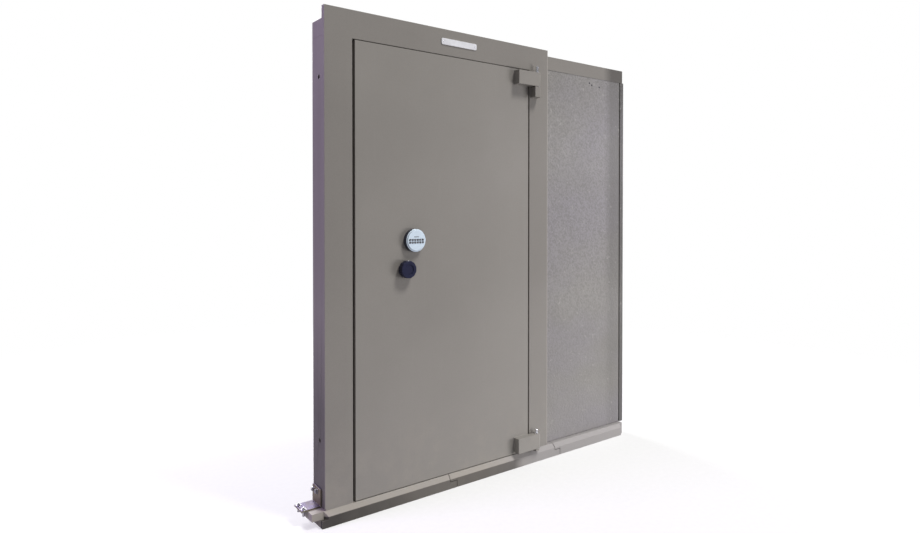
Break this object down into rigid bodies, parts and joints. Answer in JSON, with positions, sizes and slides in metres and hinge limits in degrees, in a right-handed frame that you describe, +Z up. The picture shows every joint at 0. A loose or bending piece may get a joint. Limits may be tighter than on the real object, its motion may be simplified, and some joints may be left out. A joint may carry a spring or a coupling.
{
  "type": "strongroom door set",
  "caption": "Hinged strongroom door in a steel frame on base rails, with wall panel, keypad, turning knob and sliding boltwork.",
  "frame": {"origin": "on the floor, on the underside of the base rails, under the middle of the door leaf and half-way through the wall", "axes": "+Z up, +X to the right as seen from outside, -Y towards a viewer outside"},
  "size_m": [2.05, 0.1655, 2.2],
  "materials": {
    "frame_paint": "satin fine-texture powder coat",
    "rail_paint": "satin powder coat",
    "door_paint": "satin fine-texture powder coat",
    "panel_paint": "gloss paint with orange peel",
    "barrier_fill": "rough cast barrier material",
    "seal_rubber": "matte",
    "bright_pin": "polished",
    "bolt_steel": "turned and brushed",
    "zinc_plate": "passivated zinc",
    "guide_brass": "satin",
    "keypad_silver": "satin silver",
    "key_plastic": "matte",
    "knob_coat": "satin dark blue coat",
    "lock_case": "painted casting",
    "lead_sheath": "matte sheath"
  },
  "bodies": {
    "root": {"face_plate": "frame_paint", "lock_side_jamb": "frame_paint", "hinge_side_jamb": "frame_paint", "header_box": "frame_paint", "frame_infill": "barrier_fill", "jamb_shims": "frame_paint", "threshold": "frame_paint", "base_rail_left": "rail_paint", "base_rail_middle": "rail_paint", "base_rail_right": "rail_paint", "door_seal": "seal_rubber", "upper_hinge_bracket": "frame_paint", "lower_hinge_bracket": "frame_paint", "hinge_pins": "bright_pin", "thrust_washers": "bolt_steel", "strike_plate": "bolt_steel", "panel_front_skin": "panel_paint", "panel_back_skin": "panel_paint", "panel_core": "barrier_fill", "panel_top_rail": "frame_paint", "panel_edge_channel": "panel_paint", "panel_screws": "key_plastic", "floor_bracket": "zinc_plate", "bracket_bolts": "zinc_plate", "nameplate": "bright_pin"},
    "door": {"door_front_plate": "door_paint", "door_tray": "door_paint", "door_infill": "barrier_fill", "boltwork_frame": "door_paint", "rear_cover": "door_paint", "cover_screws": "bolt_steel", "upper_hinge_arm": "door_paint", "lower_hinge_arm": "door_paint", "dog_bolts": "bolt_steel", "bolt_guides": "guide_brass", "knob_rose": "knob_coat", "keypad_housing": "keypad_silver", "keypad_face": "keypad_silver", "lock_body": "lock_case", "keypad_lead": "lead_sheath"},
    "knob": {"bolt_knob": "knob_coat", "knob_spindle": "bolt_steel", "drive_pinion": "bolt_steel"},
    "carriage": {"bolt_bar": "bolt_steel", "locking_bolts": "bolt_steel"},
    "top_rod": {"top_rod": "bolt_steel"},
    "bottom_rod": {"bottom_rod": "bolt_steel"},
    "lock_bolt": {"lock_bolt": "bolt_steel"},
    "key_01": {"key_01": "key_plastic"},
    "key_02": {"key_02": "key_plastic"},
    "key_03": {"key_03": "key_plastic"},
    "key_04": {"key_04": "key_plastic"},
    "key_05": {"key_05": "key_plastic"},
    "key_06": {"key_06": "key_plastic"},
    "key_07": {"key_07": "key_plastic"},
    "key_08": {"key_08": "key_plastic"},
    "key_09": {"key_09": "key_plastic"},
    "key_10": {"key_10": "key_plastic"},
    "key_11": {"key_11": "key_plastic"},
    "key_12": {"key_12": "key_plastic"}
  },
  "joints": [
    {"name": "door_swing", "type": "hinge", "parent": "root", "child": "door", "pos_m": [0.553, -0.0825, 1], "axis": [0, 0, 1], "range_deg": [0, 180]},
    {"name": "knob_turn", "type": "hinge", "parent": "door", "child": "knob", "pos_m": [-0.254, -0.08, 1.068], "axis": [0, -1, 0], "range_deg": [0, 90]},
    {"name": "carriage_slide", "type": "slide", "parent": "door", "child": "carriage", "axis": [-1, 0, 0], "range_m": [0, 0.0346]},
    {"name": "top_rod_slide", "type": "slide", "parent": "door", "child": "top_rod", "axis": [0, 0, 1], "range_m": [0, 0.0346]},
    {"name": "bottom_rod_slide", "type": "slide", "parent": "door", "child": "bottom_rod", "axis": [0, 0, -1], "range_m": [0, 0.0346]},
    {"name": "lock_bolt_slide", "type": "slide", "parent": "door", "child": "lock_bolt", "axis": [0, 0, -1], "range_m": [0, 0.008]},
    {"name": "key_01_press", "type": "slide", "parent": "door", "child": "key_01", "axis": [0, 1, 0], "range_m": [0, 0.0012], "stiffness_N_per_m": 400},
    {"name": "key_02_press", "type": "slide", "parent": "door", "child": "key_02", "axis": [0, 1, 0], "range_m": [0, 0.0012], "stiffness_N_per_m": 400},
    {"name": "key_03_press", "type": "slide", "parent": "door", "child": "key_03", "axis": [0, 1, 0], "range_m": [0, 0.0012], "stiffness_N_per_m": 400},
    {"name": "key_04_press", "type": "slide", "parent": "door", "child": "key_04", "axis": [0, 1, 0], "range_m": [0, 0.0012], "stiffness_N_per_m": 400},
    {"name": "key_05_press", "type": "slide", "parent": "door", "child": "key_05", "axis": [0, 1, 0], "range_m": [0, 0.0012], "stiffness_N_per_m": 400},
    {"name": "key_06_press", "type": "slide", "parent": "door", "child": "key_06", "axis": [0, 1, 0], "range_m": [0, 0.0012], "stiffness_N_per_m": 400},
    {"name": "key_07_press", "type": "slide", "parent": "door", "child": "key_07", "axis": [0, 1, 0], "range_m": [0, 0.0012], "stiffness_N_per_m": 400},
    {"name": "key_08_press", "type": "slide", "parent": "door", "child": "key_08", "axis": [0, 1, 0], "range_m": [0, 0.0012], "stiffness_N_per_m": 400},
    {"name": "key_09_press", "type": "slide", "parent": "door", "child": "key_09", "axis": [0, 1, 0], "range_m": [0, 0.0012], "stiffness_N_per_m": 400},
    {"name": "key_10_press", "type": "slide", "parent": "door", "child": "key_10", "axis": [0, 1, 0], "range_m": [0, 0.0012], "stiffness_N_per_m": 400},
    {"name": "key_11_press", "type": "slide", "parent": "door", "child": "key_11", "axis": [0, 1, 0], "range_m": [0, 0.0012], "stiffness_N_per_m": 400},
    {"name": "key_12_press", "type": "slide", "parent": "door", "child": "key_12", "axis": [0, 1, 0], "range_m": [0, 0.0012], "stiffness_N_per_m": 400}
  ],
  "couplings": [
    {"joint": "carriage_slide", "follows": "knob_turn", "m_per_rad": 0.022},
    {"joint": "top_rod_slide", "follows": "knob_turn", "m_per_rad": 0.022},
    {"joint": "bottom_rod_slide", "follows": "knob_turn", "m_per_rad": 0.022}
  ]
}
